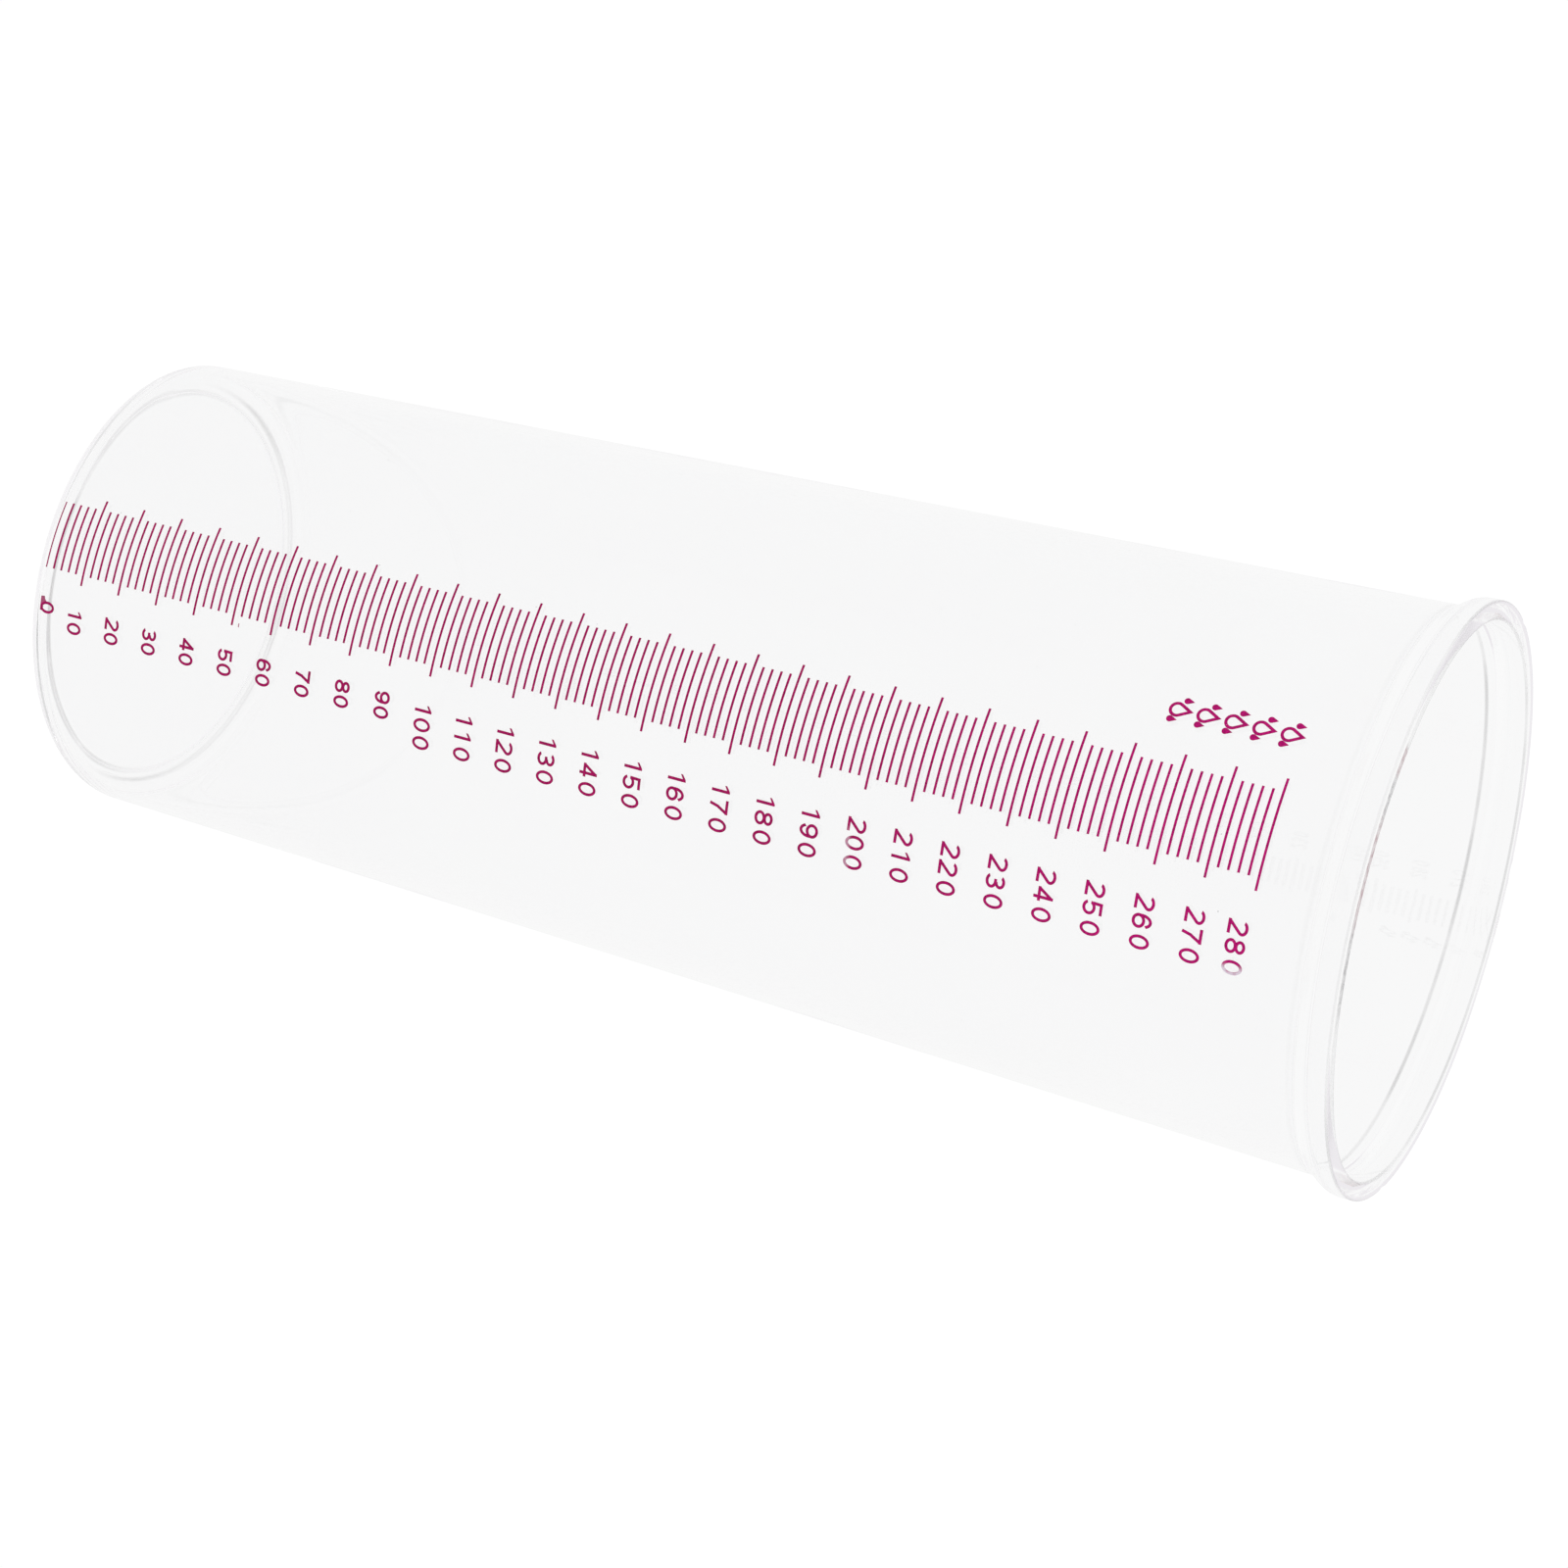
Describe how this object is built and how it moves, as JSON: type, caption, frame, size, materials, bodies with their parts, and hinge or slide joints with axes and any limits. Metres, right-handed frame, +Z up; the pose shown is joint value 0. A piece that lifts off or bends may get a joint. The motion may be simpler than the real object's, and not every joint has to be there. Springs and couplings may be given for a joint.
{
  "type": "manual rain gauge",
  "caption": "Tall clear plastic measuring cylinder with a flared lip, a slight taper and a rounded foot, open at the top, with a printed millimetre scale up one side.",
  "frame": {"origin": "centre of the underside, on the plane of the ring that the gauge stands on", "axes": "+Z up along the cylinder's axis to the open mouth; -Y is the front, where the scale is printed; +X is to the right of a person reading the scale"},
  "size_m": [0.12, 0.12, 0.3024],
  "materials": {
    "clear_plastic": "polished clear moulded plastic, not glass",
    "scale_ink": "crimson screen-printing ink"
  },
  "bodies": {
    "root": {"vessel": "clear_plastic", "minor_ticks": "scale_ink", "major_ticks": "scale_ink", "zero_tick": "scale_ink", "numeral_000": "scale_ink", "numeral_010": "scale_ink", "numeral_020": "scale_ink", "numeral_030": "scale_ink", "numeral_040": "scale_ink", "numeral_050": "scale_ink", "numeral_060": "scale_ink", "numeral_070": "scale_ink", "numeral_080": "scale_ink", "numeral_090": "scale_ink", "numeral_100": "scale_ink", "numeral_110": "scale_ink", "numeral_120": "scale_ink", "numeral_130": "scale_ink", "numeral_140": "scale_ink", "numeral_150": "scale_ink", "numeral_160": "scale_ink", "numeral_170": "scale_ink", "numeral_180": "scale_ink", "numeral_190": "scale_ink", "numeral_200": "scale_ink", "numeral_210": "scale_ink", "numeral_220": "scale_ink", "numeral_230": "scale_ink", "numeral_240": "scale_ink", "numeral_250": "scale_ink", "numeral_260": "scale_ink", "numeral_270": "scale_ink", "numeral_280": "scale_ink", "raindrop_column": "scale_ink"}
  },
  "joints": []
}
